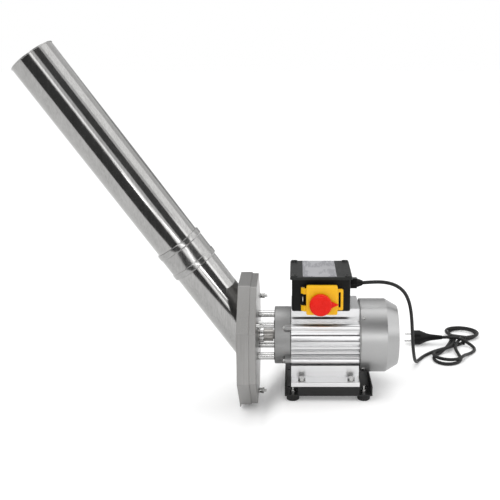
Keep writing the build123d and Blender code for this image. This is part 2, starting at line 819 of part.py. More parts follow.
with BuildPart() as lid_screws:
    with BuildSketch(level(box_top - 12, box_mid)):
        with GridLocations(2 * post_x, 2 * post_y, 2, 2):
            Circle(1.5)
    extrude(amount=12 + 1 + lid_thick - 1)
    with BuildSketch(level(lid_top - 1, box_mid)):
        with GridLocations(2 * post_x, 2 * post_y, 2, 2):
            Circle(2.8)
    extrude(amount=2)
save(lid_screws, "lid_screws")

label_length = 72.0
with BuildPart() as label_plate:
    with BuildSketch(level(lid_top, box_mid - 3)):
        RectangleRounded(label_length, box_depth, 3)
    extrude(amount=0.5)
save(label_plate, "label_plate")

with BuildPart() as capacitor:
    with BuildSketch(Plane(origin=(plate_x + box_mid - 30, 34, axis_z + top_pad_z + box_wall + 18),
                           x_dir=(0, 1, 0), z_dir=(1, 0, 0))):
        Circle(17.9)
    extrude(amount=80)
    fillet(capacitor.edges().filter_by(GeomType.CIRCLE), 2)
save(capacitor, "capacitor")

# ---- switch: base, two buttons, hinged cover with the emergency button ---------------------
base_face = -box_depth / 2 - 12
start_z = 14.0
stop_z = -6.5
button_gap = 0.3
pin_x = switch_x - switch_wide / 2 - 7
pin_y = base_face + 3
pin_d = 3.0
knuckle_r = 4.0
base_knuckles = (-13.5, 4.5)
flap_knuckles = (-26, 12)
pin_reach = 80.0
with BuildPart() as switch_base:
    with BuildSketch(facing(-box_depth / 2, switch_x, switch_z)):
        RectangleRounded(switch_wide, switch_tall, 4)
    extrude(amount=12)
    with BuildSketch(facing(-box_depth / 2 + 22, switch_x, switch_z)):
        RectangleRounded(switch_wide - 16.6, switch_tall - 16.6, 3)
    extrude(amount=22)
    for z in base_knuckles:
        with BuildSketch(level(switch_z + z, pin_x, pin_y)):
            Circle(knuckle_r)
            with Locations((5, 2)):
                Rectangle(10, 4)
        extrude(amount=7)
    with BuildSketch(level(switch_z - pin_reach / 2, pin_x, pin_y)):
        Circle(pin_d / 2)
    extrude(amount=pin_reach, mode=Mode.SUBTRACT)
    with BuildSketch(facing(base_face + 8, switch_x, switch_z)):
        with Locations((0, start_z)):
            Circle(7 + button_gap)
        with Locations((0, stop_z)):
            Circle(9 + button_gap)
    extrude(amount=8, mode=Mode.SUBTRACT)
save(switch_base, "switch_base")

for name, z, radius in (("start_button", start_z, 7), ("stop_button", stop_z, 9)):
    with BuildPart() as button:
        with BuildSketch(facing(base_face + 8 - 4, switch_x, switch_z + z)):
            Circle(radius)
        extrude(amount=6)
        chamfer(button.edges().group_by(Axis.Y)[0], 0.6)
    save(button, name)

flap_wide = 66.0
flap_tall = 63.0
flap_back = base_face - 2.6
flap_front = base_face - 15
flap_wall = 2.5
flap_x = switch_x + 3
with BuildPart() as switch_flap:
    with BuildSketch(facing(flap_back, flap_x, switch_z)):
        RectangleRounded(flap_wide, flap_tall, 4)
    extrude(amount=flap_back - flap_front)
    fillet(switch_flap.faces().sort_by(Axis.Y)[0].edges(), 2)
    with BuildSketch(facing(flap_back, flap_x, switch_z)):
        RectangleRounded(flap_wide - 2 * flap_wall, flap_tall - 2 * flap_wall, 2)
    extrude(amount=flap_back - flap_front - flap_wall, mode=Mode.SUBTRACT)
    with BuildSketch(facing(flap_back, flap_x + flap_wide / 2 + 4.5, switch_z)):
        RectangleRounded(15, 46, 3)
        RectangleRounded(4.5, 34, 1.5, mode=Mode.SUBTRACT)
    extrude(amount=5)
    with BuildSketch(facing(flap_back - 6, flap_x, switch_z)):
        RectangleRounded(flap_wide - 2 * flap_wall, flap_tall - 2 * flap_wall, 2)
    extrude(amount=-20, mode=Mode.SUBTRACT)
    for z in flap_knuckles:
        with BuildSketch(level(switch_z + z, pin_x, pin_y)):
            with BuildLine():
                knuckle = CenterArc((0, 0), knuckle_r, 45, 180)
                Polyline(knuckle @ 1, (2.5, -9.5), (9, -9.5), (9, -5.9), (5.5, -5.9), knuckle @ 0)
            make_face()
        extrude(amount=12)
    with BuildSketch(level(switch_z - pin_reach / 2, pin_x, pin_y)):
        Circle(pin_d / 2 + run_gap)
    extrude(amount=pin_reach, mode=Mode.SUBTRACT)
    with BuildSketch(facing(flap_back, switch_x, switch_z + stop_z)):
        Circle(6 + run_gap)
    extrude(amount=20, mode=Mode.SUBTRACT)
save(switch_flap, "switch_flap")

with BuildPart() as hinge_pin:
    with BuildSketch(level(switch_z - 26, pin_x, pin_y)):
        Circle(pin_d / 2)
    extrude(amount=52)
save(hinge_pin, "hinge_pin")

button_r = 23.5
button_travel = 4.0
with BuildPart() as emergency_button:
    with BuildSketch(facing(flap_front - button_travel - 0.5, switch_x, switch_z + stop_z)):
        Circle(button_r)
        with Locations((button_r + 1, 0)):
            Polygon((-10, -11), (13, 0), (-10, 11), align=None)
    extrude(amount=4)
    with BuildSketch(facing(flap_front - button_travel - 4.5, switch_x, switch_z + stop_z)):
        Circle(button_r)
    extrude(amount=8)
    fillet(emergency_button.faces().sort_by(Axis.Y)[0].edges(), 5)
    with BuildSketch(facing(flap_front - button_travel - 0.5, switch_x, switch_z + stop_z)):
        Circle(6)
    extrude(amount=-(button_travel + 0.5 + flap_wall + 6))
save(emergency_button, "emergency_button")

# ---- cable gland ---------------------------------------------------------------------------
box_end = box_x0 + box_length
with BuildPart() as gland_body:
    with BuildSketch(across(box_end - box_wall - 8)):
        with Locations((gland_y, gland_z)):
            Circle(gland_d / 2)
    extrude(amount=box_wall + 8)
    with BuildSketch(across(box_end)):
        with Locations((gland_y, gland_z)):
            RegularPolygon(11, 6, major_radius=False)
    extrude(amount=6)
    with BuildSketch(across(box_end + 6)):
        with Locations((gland_y, gland_z)):
            Circle(gland_d / 2)
    extrude(amount=4)
    with BuildSketch(across(box_end - box_wall - 8)):
        with Locations((gland_y, gland_z)):
            Circle(cord_d / 2 + 1)
    extrude(amount=40, mode=Mode.SUBTRACT)
save(gland_body, "gland_body")

gland_end = box_end + 29.5
with BuildPart() as gland_nut:
    with BuildSketch(across(box_end + 6)):
        with Locations((gland_y, gland_z)):
            RegularPolygon(11, 6, major_radius=False)
    extrude(amount=11)
    with BuildSketch(across(box_end + 17)):
        with Locations((gland_y, gland_z)):
            Circle(10)
    with BuildSketch(across(gland_end)):
        with Locations((gland_y, gland_z)):
            Circle(5.5)
    loft()
    with BuildSketch(across(box_end + 6)):
        with Locations((gland_y, gland_z)):
            Circle(gland_d / 2)
    extrude(amount=4, mode=Mode.SUBTRACT)
save(gland_nut, "gland_nut")

with BuildPart() as gland_locknut:
    with BuildSketch(across(box_end - box_wall - 4)):
        with Locations((gland_y, gland_z)):
            RegularPolygon(11, 6, major_radius=False)
            Circle(gland_d / 2, mode=Mode.SUBTRACT)
    extrude(amount=4)
save(gland_locknut, "gland_locknut")

# ---- power cord, hank and plug -------------------------------------------------------------
cord_floor = table_z + cord_d / 2
hank_height = 22.0
tie_x = 30.0
tie_wide = 10.0
tie_wall = 1.5
waist_half = 20.0
hank_turn = radians(68)
plug_r = 18.5
plug_length = 78.0
plug_at = (230, 262, table_z + plug_r)

# from the gland over and down to the table, then along it into the tied hank
lead_route = [(75, -15, 233), (98, -15, 235), (124, -13, 234), (149, -8, 226), (169, 1, 209),
              (182, 13, 184), (190, 26, 154), (195, 39, 122), (199, 52, 90), (203, 66, 59),
              (208, 81, 31), (214, 99, 7), (222, 121, -7), (233, 146, cord_floor),
              (250, 172, cord_floor), (273, 196, cord_floor), (300, 216, cord_floor),
              (328, 231, cord_floor)]
tail_route = [(307, 262, 5.5), (320, 260.4, 4), (333, 255.6, 1)]


def cord_path(points):
    spots = [Vector(*p) for p in points]
    runs = [b - a for a, b in zip(spots, spots[1:])]
    radii = []
    for first, second in zip(runs, runs[1:]):
        half = radians(first.get_angle(second)) / 2
        radii.append(0.45 * min(first.length, second.length) / tan(half))
    print("cord radii", [round(r) for r in radii])
    return FilletPolyline(*spots, radius=radii)


lead_start = Plane(origin=lead_route[0], z_dir=Vector(*lead_route[1]) - Vector(*lead_route[0]))
tail_start = Plane(origin=tail_route[0], z_dir=Vector(*tail_route[1]) - Vector(*tail_route[0]))
with BuildPart() as power_cord:
    for route, start in ((lead_route, lead_start), (tail_route, tail_start)):
        with BuildLine() as line:
            path = cord_path(route)
        with BuildSketch(start):
            Circle(cord_d / 2)
        sweep(path=line.wires()[0])
        print("cord length", round(line.wires()[0].length, 1))
save(power_cord, "power_cord")
print("cord section x length", round(power_cord.part.volume / (pi * cord_d ** 2 / 4), 1))

hank_plane = Plane(origin=(338, 240, table_z), x_dir=(cos(hank_turn), sin(hank_turn), 0),
                   z_dir=(0, 0, 1))
with BuildPart() as cord_hank:
    with BuildSketch(hank_plane):
        with Locations((-95, 0)):
            Circle(46)
        with Locations((95, 0)):
            Circle(52)
        with Locations((-6, -44)):
            Circle(28)
        Rectangle(150, 2 * waist_half)
    extrude(amount=hank_height)
    with BuildSketch(hank_plane):
        with Locations((tie_x, 0)):
            Rectangle(tie_wide, 4 * waist_half)
    extrude(amount=hank_height, mode=Mode.SUBTRACT)
    with BuildSketch(hank_plane.offset(tie_wall)):
        with Locations((tie_x, 0)):
            Rectangle(tie_wide, 2 * (waist_half - tie_wall))
    extrude(amount=hank_height - 2 * tie_wall)
save(cord_hank, "cord_hank")

with BuildPart() as cord_tie:
    with BuildSketch(hank_plane):
        with Locations((tie_x, 0)):
            Rectangle(tie_wide, 2 * waist_half)
    extrude(amount=hank_height)
    with BuildSketch(hank_plane.offset(tie_wall)):
        with Locations((tie_x, 0)):
            Rectangle(tie_wide, 2 * (waist_half - tie_wall))
    extrude(amount=hank_height - 2 * tie_wall, mode=Mode.SUBTRACT)
save(cord_tie, "cord_tie")

plug_axis = Axis(plug_at, (1, 0, 0))
with BuildPart() as plug_body:
    with BuildSketch(Plane(origin=plug_at, x_dir=(1, 0, 0), z_dir=(0, -1, 0))):
        with BuildLine():
            Polyline((0, 0), (0, plug_r - 1), (1, plug_r), (20, plug_r), (26, plug_r - 2.5), (38, 11),
                     (48, 8.5), (plug_length, 5), (plug_length, 0), close=True)
        make_face()
    revolve(axis=plug_axis)
    with BuildSketch(Plane(origin=plug_at, x_dir=(0, 1, 0), z_dir=(1, 0, 0))):
        with Locations((0, 9.5), (0, -9.5)):
            Circle(2.4)
    extrude(amount=14, mode=Mode.SUBTRACT)
save(plug_body, "plug_body")

with BuildPart() as plug_pins:
    with BuildSketch(Plane(origin=plug_at, x_dir=(0, 1, 0), z_dir=(1, 0, 0)).offset(-19)):
        with Locations((0, 9.5), (0, -9.5)):
            Circle(2.4)
    extrude(amount=33)
    fillet(plug_pins.edges().group_by(Axis.X)[0], 1.6)
save(plug_pins, "plug_pins")
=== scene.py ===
import bpy
import bmesh
import json
from math import sin, cos, tan, radians, pi
from mathutils import Vector, Matrix


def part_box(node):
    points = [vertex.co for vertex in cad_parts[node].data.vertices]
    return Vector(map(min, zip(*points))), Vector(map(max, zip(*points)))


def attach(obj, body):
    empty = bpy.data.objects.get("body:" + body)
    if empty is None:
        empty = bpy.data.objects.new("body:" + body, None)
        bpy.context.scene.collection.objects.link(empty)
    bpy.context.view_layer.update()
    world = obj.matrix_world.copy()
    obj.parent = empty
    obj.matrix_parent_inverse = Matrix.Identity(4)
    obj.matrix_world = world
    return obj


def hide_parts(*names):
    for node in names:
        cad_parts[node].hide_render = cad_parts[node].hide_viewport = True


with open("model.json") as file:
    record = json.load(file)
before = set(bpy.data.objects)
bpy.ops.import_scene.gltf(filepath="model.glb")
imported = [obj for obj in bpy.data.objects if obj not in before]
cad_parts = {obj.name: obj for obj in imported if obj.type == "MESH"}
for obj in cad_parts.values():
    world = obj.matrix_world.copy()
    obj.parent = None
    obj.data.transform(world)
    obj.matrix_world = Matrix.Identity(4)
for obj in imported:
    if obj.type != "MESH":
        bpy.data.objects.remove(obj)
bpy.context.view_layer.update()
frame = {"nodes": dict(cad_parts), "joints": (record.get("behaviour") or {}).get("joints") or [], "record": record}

nodes = frame["nodes"]
joints = {j["name"]: j for j in frame["joints"]}

# places that the whole script shares, read from the frame
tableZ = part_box("rubber_feet")[0].z
tubeAxis = Vector(joints["tube_slide"]["axis"]).normalized()
print("frame read:", len(nodes), "nodes, table at", round(tableZ, 4))


def linkNew(name, mesh):
    obj = bpy.data.objects.new(name, mesh)
    bpy.context.scene.collection.objects.link(obj)
    return obj


def finishMesh(name, bm, material, smoothAngle=32):
    mesh = bpy.data.meshes.new(name)
    bmesh.ops.recalc_face_normals(bm, faces=bm.faces)
    bm.to_mesh(mesh)
    bm.free()
    mesh.shade_smooth()
    mesh.set_sharp_from_angle(angle=radians(smoothAngle))
    obj = linkNew(name, mesh)
    mesh.materials.append(material)
    return obj


def sideVectors(axis):
    side = Vector((0, 1, 0)) if abs(axis.y) < 0.9 else Vector((1, 0, 0))
    up = axis.cross(side).normalized()
    return up.cross(axis).normalized(), up


def turned(bm, origin, axis, profile, steps):
    # a closed profile of (along, radius) turned about an axis
    side, up = sideVectors(axis)
    rings = []
    for along, radius in profile:
        ring = []
        for k in range(steps):
            a = 2 * pi * k / steps
            ring.append(bm.verts.new(origin + axis * along + (side * cos(a) + up * sin(a)) * radius))
        rings.append(ring)
    for a, b in zip(rings, rings[1:] + rings[:1]):
        for k in range(steps):
            n = (k + 1) % steps
            bm.faces.new((a[k], a[n], b[n], b[k]))


def roundedProfile(points, radius, steps=4):
    # rounds each corner of a closed (along, radius) profile
    out = []
    count = len(points)
    for i, here in enumerate(points):
        p = Vector(here)
        before = Vector(points[i - 1]) - p
        after = Vector(points[(i + 1) % count]) - p
        reach = min(radius, before.length * 0.45, after.length * 0.45)
        a = p + before.normalized() * reach
        b = p + after.normalized() * reach
        for k in range(steps + 1):
            t = k / steps
            q = a.lerp(p, t).lerp(p.lerp(b, t), t)
            out.append((q.x, max(q.y, 0.0)))
    return out


cameraSet = {
    "place": (-0.0723, -1.7142, 0.7255),
    "tiltDown": 13.84,
    "lens": 58.1,
    "shiftX": -0.0904,
}


def makeCamera(look):
    data = bpy.data.cameras.new("viewCamera")
    data.lens = look["lens"]
    data.sensor_width = 36
    data.shift_x = look["shiftX"]
    data.clip_end = 100
    camera = bpy.data.objects.new("viewCamera", data)
    camera.location = look["place"]
    camera.rotation_euler = (radians(90 - look["tiltDown"]), 0, 0)
    bpy.context.scene.collection.objects.link(camera)
    bpy.context.scene.camera = camera
    bpy.context.scene.view_settings.view_transform = "Standard"


makeCamera(cameraSet)
print("camera made")


def startMaterial(name):
    material = bpy.data.materials.new(name)
    material.use_nodes = True
    tree = material.node_tree
    return material, tree, tree.nodes["Principled BSDF"]


def addNode(tree, kind, **values):
    node = tree.nodes.new(kind)
    for key, value in values.items():
        if key in node.inputs:
            node.inputs[key].default_value = value
        else:
            setattr(node, key, value)
    return node


def mapped(tree, scale, turn=(0, 0, 0)):
    coord = addNode(tree, "ShaderNodeTexCoord")
    place = addNode(tree, "ShaderNodeMapping")
    place.inputs["Scale"].default_value = scale
    place.inputs["Rotation"].default_value = turn
    tree.links.new(coord.outputs["Object"], place.inputs["Vector"])
    return place.outputs["Vector"]


def noiseFrom(tree, vector, scale=1.0, detail=5.0, rough=0.6):
    noise = addNode(tree, "ShaderNodeTexNoise", Scale=scale, Detail=detail, Roughness=rough)
    tree.links.new(vector, noise.inputs["Vector"])
    return noise.outputs["Fac"]


def ranged(tree, value, low, high, fromLow=0.3, fromHigh=0.7):
    node = addNode(tree, "ShaderNodeMapRange")
    node.inputs["From Min"].default_value = fromLow
    node.inputs["From Max"].default_value = fromHigh
    node.inputs["To Min"].default_value = low
    node.inputs["To Max"].default_value = high
    tree.links.new(value, node.inputs["Value"])
    return node.outputs["Result"]


def blended(tree, factor, first, second):
    mix = addNode(tree, "ShaderNodeMix", data_type="RGBA")
    for socket, value in (("A", first), ("B", second)):
        target = [s for s in mix.inputs if s.name == socket and s.type == "RGBA"][0]
        if isinstance(value, tuple):
            target.default_value = (*value, 1)
        else:
            tree.links.new(value, target)
    tree.links.new(factor, mix.inputs["Factor"])
    return [s for s in mix.outputs if s.type == "RGBA"][0]


def added(tree, first, second, operation="ADD"):
    node = addNode(tree, "ShaderNodeMath", operation=operation)
    tree.links.new(first, node.inputs[0])
    if isinstance(second, float):
        node.inputs[1].default_value = second
    else:
        tree.links.new(second, node.inputs[1])
    return node.outputs[0]


surfaceLook = {
    "edge": 0.0007,  # softly broken edges
    "rubbedEdge": 0.0008,  # paler band on painted and moulded edges
    "rubbedRange": (0.86, 0.995),
    "edgeSamples": 4,
    "metalDepth": 0.0003,  # depth of the fine texture
    "plasticDepth": 0.0002,
    "grainShare": 0.7,
    "smearShare": 0.3,
    "mottleScale": 28,
    "mottleRange": (0.15, 0.4),
}


def bumped(tree, shader, height, strength, distance, edge=surfaceLook["edge"]):
    # surface texture over softly rounded edges
    bevel = addNode(tree, "ShaderNodeBevel", Radius=edge)
    bevel.samples = surfaceLook["edgeSamples"]
    bump = addNode(tree, "ShaderNodeBump", Strength=strength, Distance=distance)
    tree.links.new(height, bump.inputs["Height"])
    tree.links.new(bevel.outputs["Normal"], bump.inputs["Normal"])
    tree.links.new(bump.outputs["Normal"], shader.inputs["Normal"])


def metalFinish(name, look):
    # drawn or brushed metal: fine grain stretched along one way, with softer smears over it
    material, tree, shader = startMaterial(name)
    turn = look.get("turn", (0, 0, 0))
    grain = noiseFrom(tree, mapped(tree, look["grain"], turn), detail=7, rough=0.65)
    smear = noiseFrom(tree, mapped(tree, look["smear"], turn), detail=4)
    both = added(tree, added(tree, grain, surfaceLook["grainShare"], "MULTIPLY"),
                 added(tree, smear, surfaceLook["smearShare"], "MULTIPLY"))
    colour = blended(tree, ranged(tree, both, 0, 1), look["dark"], look["light"])
    tree.links.new(colour, shader.inputs["Base Color"])
    tree.links.new(ranged(tree, both, *look["rough"]), shader.inputs["Roughness"])
    edge = look.get("edge", surfaceLook["edge"])
    bumped(tree, shader, grain, look["bump"], surfaceLook["metalDepth"], edge)
    shader.inputs["Metallic"].default_value = look.get("metal", 1.0)
    return material


def plasticFinish(name, look):
    # moulded or painted surface: fine texture, slight mottling, paler rubbed edges
    material, tree, shader = startMaterial(name)
    fine = noiseFrom(tree, mapped(tree, (1, 1, 1)), scale=look["texture"], detail=3)
    mottle = noiseFrom(tree, mapped(tree, (1, 1, 1)), scale=surfaceLook["mottleScale"], detail=5, rough=0.7)
    colour = blended(tree, ranged(tree, mottle, 0, 1), look["dark"], look["light"])
    if "edge" in look:
        bevel = addNode(tree, "ShaderNodeBevel", Radius=surfaceLook["rubbedEdge"])
        bevel.samples = surfaceLook["edgeSamples"]
        plain = addNode(tree, "ShaderNodeNewGeometry")
        dot = addNode(tree, "ShaderNodeVectorMath", operation="DOT_PRODUCT")
        tree.links.new(bevel.outputs["Normal"], dot.inputs[0])
        tree.links.new(plain.outputs["Normal"], dot.inputs[1])
        worn = ranged(tree, dot.outputs["Value"], 1, 0, *surfaceLook["rubbedRange"])
        worn = added(tree, worn, ranged(tree, mottle, 0.1, 1.0), "MULTIPLY")
        colour = blended(tree, worn, colour, look["edge"])
    tree.links.new(colour, shader.inputs["Base Color"])
    roughness = ranged(tree, added(tree, fine, mottle, "MULTIPLY"), *look["rough"],
                       *surfaceLook["mottleRange"])
    tree.links.new(roughness, shader.inputs["Roughness"])
    bumped(tree, shader, fine, look["bump"], surfaceLook["plasticDepth"])
    shader.inputs["Specular IOR Level"].default_value = look["specular"]
    return material


tubeTurn = (0, -Vector((0, 0, 1)).angle(tubeAxis), 0)
finishes = {
    "polishedTube": metalFinish("polishedTube", {
        "grain": (420, 420, 3), "turn": tubeTurn, "smear": (60, 60, 1.2), "bump": 0.05,
        "dark": (0.27, 0.267, 0.262), "light": (0.41, 0.407, 0.402), "rough": (0.08, 0.15)}),
    "stubTube": metalFinish("stubTube", {
        "grain": (380, 380, 4), "turn": tubeTurn, "smear": (40, 40, 5), "bump": 0.08,
        "dark": (0.28, 0.277, 0.273), "light": (0.42, 0.417, 0.412), "rough": (0.08, 0.17)}),
    "satinCollar": metalFinish("satinCollar", {
        "grain": (380, 380, 4), "turn": tubeTurn, "smear": (30, 30, 6), "bump": 0.05,
        "dark": (0.24, 0.238, 0.234), "light": (0.40, 0.397, 0.392), "rough": (0.12, 0.24)}),
    "brushedSheet": metalFinish("brushedSheet", {
        "grain": (900, 900, 9), "smear": (7, 7, 7), "bump": 0.12, "edge": 0.0028,
        "dark": (0.25, 0.246, 0.24), "light": (0.36, 0.355, 0.348), "rough": (0.28, 0.42)}),
    "polishedRod": metalFinish("polishedRod", {
        "grain": (700, 200, 200), "smear": (12, 30, 30), "bump": 0.06,
        "dark": (0.44, 0.44, 0.435), "light": (0.66, 0.66, 0.655), "rough": (0.08, 0.2)}),
    "bladeSteel": metalFinish("bladeSteel", {
        "grain": (60, 700, 60), "smear": (14, 14, 14), "bump": 0.15,
        "dark": (0.26, 0.25, 0.24), "light": (0.42, 0.41, 0.39), "rough": (0.22, 0.4)}),
    "zincFasteners": metalFinish("zincFasteners", {
        "grain": (260, 260, 260), "smear": (40, 40, 40), "bump": 0.1,
        "dark": (0.34, 0.34, 0.335), "light": (0.56, 0.56, 0.55), "rough": (0.16, 0.34)}),
    "castAluminium": metalFinish("castAluminium", {
        "grain": (1500, 1500, 1500), "smear": (16, 16, 16), "bump": 0.5,
        "dark": (0.24, 0.24, 0.24), "light": (0.34, 0.34, 0.337), "rough": (0.36, 0.5)}),
    "extrudedAluminium": metalFinish("extrudedAluminium", {
        "grain": (5, 700, 700), "smear": (5, 9, 9), "bump": 0.02,
        "dark": (0.64, 0.64, 0.645), "light": (0.73, 0.73, 0.735), "rough": (0.28, 0.34)}),
    "silverPaint": metalFinish("silverPaint", {
        "grain": (2200, 2200, 2200), "smear": (8, 8, 8), "bump": 0.12, "metal": 0.85,
        "dark": (0.31, 0.31, 0.31), "light": (0.40, 0.40, 0.40), "rough": (0.28, 0.38)}),
    "laminatedIron": metalFinish("laminatedIron", {
        "grain": (1800, 20, 20), "smear": (20, 20, 20), "bump": 0.5,
        "dark": (0.12, 0.12, 0.125), "light": (0.24, 0.24, 0.25), "rough": (0.4, 0.6)}),
    "copperWinding": metalFinish("copperWinding", {
        "grain": (120, 900, 900), "smear": (30, 30, 30), "bump": 0.5,
        "dark": (0.45, 0.18, 0.07), "light": (0.70, 0.32, 0.14), "rough": (0.25, 0.4)}),
    "blackPaint": plasticFinish("blackPaint", {
        "dark": (0.006, 0.006, 0.006), "light": (0.011, 0.011, 0.011), "edge": (0.05, 0.05, 0.05),
        "rough": (0.28, 0.45), "specular": 0.3, "bump": 0.08, "texture": 900}),
    "blackRubber": plasticFinish("blackRubber", {
        "dark": (0.004, 0.004, 0.004), "light": (0.008, 0.008, 0.008),
        "rough": (0.4, 0.58), "specular": 0.3, "bump": 0.15, "texture": 1400}),
    "blackPlastic": plasticFinish("blackPlastic", {
        "dark": (0.003, 0.003, 0.003), "light": (0.006, 0.006, 0.006), "edge": (0.03, 0.03, 0.03),
        "rough": (0.30, 0.46), "specular": 0.14, "bump": 0.2, "texture": 1100}),
    "greyPlastic": plasticFinish("greyPlastic", {
        "dark": (0.012, 0.013, 0.0125), "light": (0.022, 0.023, 0.0225), "edge": (0.07, 0.07, 0.07),
        "rough": (0.36, 0.52), "specular": 0.15, "bump": 0.3, "texture": 1000}),
    "yellowPlastic": plasticFinish("yellowPlastic", {
        "dark": (0.70, 0.37, 0.005), "light": (0.78, 0.44, 0.010), "edge": (0.90, 0.58, 0.05),
        "rough": (0.28, 0.40), "specular": 0.2, "bump": 0.05, "texture": 700}),
    "redPlastic": plasticFinish("redPlastic", {
        "dark": (0.56, 0.004, 0.001), "light": (0.68, 0.010, 0.002), "edge": (0.80, 0.04, 0.01),
        "rough": (0.24, 0.36), "specular": 0.18, "bump": 0.04, "texture": 700}),
    "greenPlastic": plasticFinish("greenPlastic", {
        "dark": (0.01, 0.24, 0.05), "light": (0.02, 0.34, 0.08),
        "rough": (0.26, 0.4), "specular": 0.5, "bump": 0.05, "texture": 700}),
}

labelLook = {
    "rows": 36.0,
    "dashes": (260, 40, 1),
    "blocks": (38, 26, 1),
    "cloud": (20, 20, 20),
    "foil": ((0.33, 0.33, 0.345), (0.42, 0.42, 0.44)),
    "ink": (0.10, 0.10, 0.12),
    "rough": (0.3, 0.45),
    "metal": 0.2,
}


def labelFoil(look):
    # matt grey foil with generic ruled lines and blocks, and no lettering
    material, tree, shader = startMaterial("labelFoil")
    vector = mapped(tree, (1, 1, 1))
    rows = addNode(tree, "ShaderNodeTexWave", wave_type="BANDS", bands_direction="Y", Scale=look["rows"])
    tree.links.new(vector, rows.inputs["Vector"])
    dashes = noiseFrom(tree, mapped(tree, look["dashes"]), detail=2)
    blocks = noiseFrom(tree, mapped(tree, look["blocks"]), detail=0)
    printed = added(tree, ranged(tree, rows.outputs["Fac"], 0, 1, 0.55, 0.65),
                    ranged(tree, dashes, 0, 1, 0.42, 0.48), "MULTIPLY")
    printed = added(tree, printed, ranged(tree, blocks, 0, 1, 0.46, 0.48), "MULTIPLY")
    cloud = noiseFrom(tree, mapped(tree, look["cloud"]), detail=4)
    foil = blended(tree, cloud, *look["foil"])
    tree.links.new(blended(tree, printed, foil, look["ink"]), shader.inputs["Base Color"])
    tree.links.new(ranged(tree, cloud, *look["rough"]), shader.inputs["Roughness"])
    shader.inputs["Metallic"].default_value = look["metal"]
    return material


finishes["labelFoil"] = labelFoil(labelLook)
finishOf = {
    "brushed_stainless": "brushedSheet", "polished_tube": "polishedTube", "satin_collar": "satinCollar",
    "polished_rod": "polishedRod", "blade_steel": "bladeSteel", "zinc_fasteners": "zincFasteners",
    "bearing_steel": "bladeSteel", "laminated_iron": "laminatedIron",
    "copper_windings": "copperWinding", "cast_aluminium": "castAluminium",
    "extruded_aluminium": "extrudedAluminium", "silver_paint": "silverPaint",
    "fan_plastic": "blackPlastic", "black_paint": "blackPaint", "black_rubber": "blackRubber",
    "black_plastic": "blackPlastic", "grey_plastic": "greyPlastic", "label_foil": "labelFoil",
    "yellow_plastic": "yellowPlastic", "red_plastic": "redPlastic", "green_plastic": "greenPlastic",
}


def dressNodes():
    # every CAD node gets the finish of its material slot
    slotOf = {s["node"]: s["material_slot"] for s in frame["record"]["subparts"]}
    for name, obj in nodes.items():
        finish = finishes[finishOf[slotOf[name]]]
        obj.data.materials.clear()
        obj.data.materials.append(finish)


dressNodes()
print("finishes made:", len(finishes))

cordLook = {
    "diameter": 0.008,
    "length": 1.86,
    "smoothness": 8,
    "roundness": 5,
    "hankPlace": (0.338, 0.240),
    "hankTurn": 68,
    # loops of the first turn and the second: centre, half length, half width, first angle, step, points
    "farLoops": ((0.097, 0.043, 0.036, -138, 23, 13), (0.089, 0.037, 0.042, -140, 23, 13)),
    "nearLoops": ((-0.094, 0.040, 0.033, 46, 24, 12), (-0.088, 0.034, 0.036, 44, 25, 10)),
    "waist": (0.0126, 0.0045),
    "gap": 0.0002,  # between the two turns
    # out to the side on the table, then up over the bundle to the plug: along, across, lift
    "lastStretch": ((-0.068, -0.0375, 0.0045), (-0.050, -0.043, 0.001), (-0.031, -0.050, 0),
                    (-0.011, -0.053, 0), (0.007, -0.046, 0.0008), (0.016, -0.031, 0.0055),
                    (0.018, -0.015, 0.0125), (0.0165, -0.002, 0.0168)),
}
cordRoute = [(0.075, -0.015, 0.233), (0.098, -0.015, 0.235), (0.124, -0.013, 0.234),
             (0.149, -0.008, 0.226), (0.169, 0.001, 0.209), (0.182, 0.013, 0.184),
             (0.190, 0.026, 0.154), (0.195, 0.039, 0.122), (0.199, 0.052, 0.090),
             (0.203, 0.066, 0.059), (0.208, 0.081, 0.031), (0.214, 0.099, 0.007),
             (0.222, 0.121, -0.0065), (0.233, 0.146, -0.009), (0.250, 0.172, -0.009),
             (0.273, 0.196, -0.009), (0.300, 0.216, -0.009)]
tailRoute = [(0.333, 0.2556, 0.0078), (0.320, 0.2604, 0.0068), (0.307, 0.262, 0.0055)]


def hankPoints(look):
    floorZ = tableZ + look["diameter"] / 2
    topZ = floorZ + look["diameter"] + look["gap"]
    turn = radians(look["hankTurn"])
    points = []

    def put(u, v, z):
        x = look["hankPlace"][0] + u * cos(turn) - v * sin(turn)
        y = look["hankPlace"][1] + u * sin(turn) + v * cos(turn)
        points.append((x, y, z))

    def loop(shape, z):
        centre, long, wide, start, step, count = shape
        for k in range(count):
            a = radians(start + step * k)
            put(centre + long * cos(a), wide * sin(a), z)

    low, high = look["waist"]
    # first turn: along the table, back through the waist over the incoming cord
    put(0.018, -low, floorZ)
    put(0.038, -low - 0.001, floorZ)
    loop(look["farLoops"][0], floorZ)
    put(0.040, low + 0.001, floorZ + 0.0045)
    put(0.014, low, topZ)
    put(-0.014, low, topZ)
    put(-0.040, low + 0.002, floorZ + 0.0060)
    loop(look["nearLoops"][0], floorZ)
    # second turn, on top of the first
    put(-0.036, -high - 0.002, topZ - 0.001)
    put(-0.010, -high, topZ)
    put(0.016, -high, topZ)
    put(0.040, -high - 0.003, topZ)
    loop(look["farLoops"][1], topZ - 0.001)
    put(0.040, high + 0.003, topZ)
    put(0.014, high, topZ)
    put(-0.014, high, topZ)
    put(-0.038, high + 0.002, topZ)
    loop(look["nearLoops"][1], topZ - 0.001)
    for u, v, lift in look["lastStretch"]:
        put(u, v, floorZ + lift)
    return points


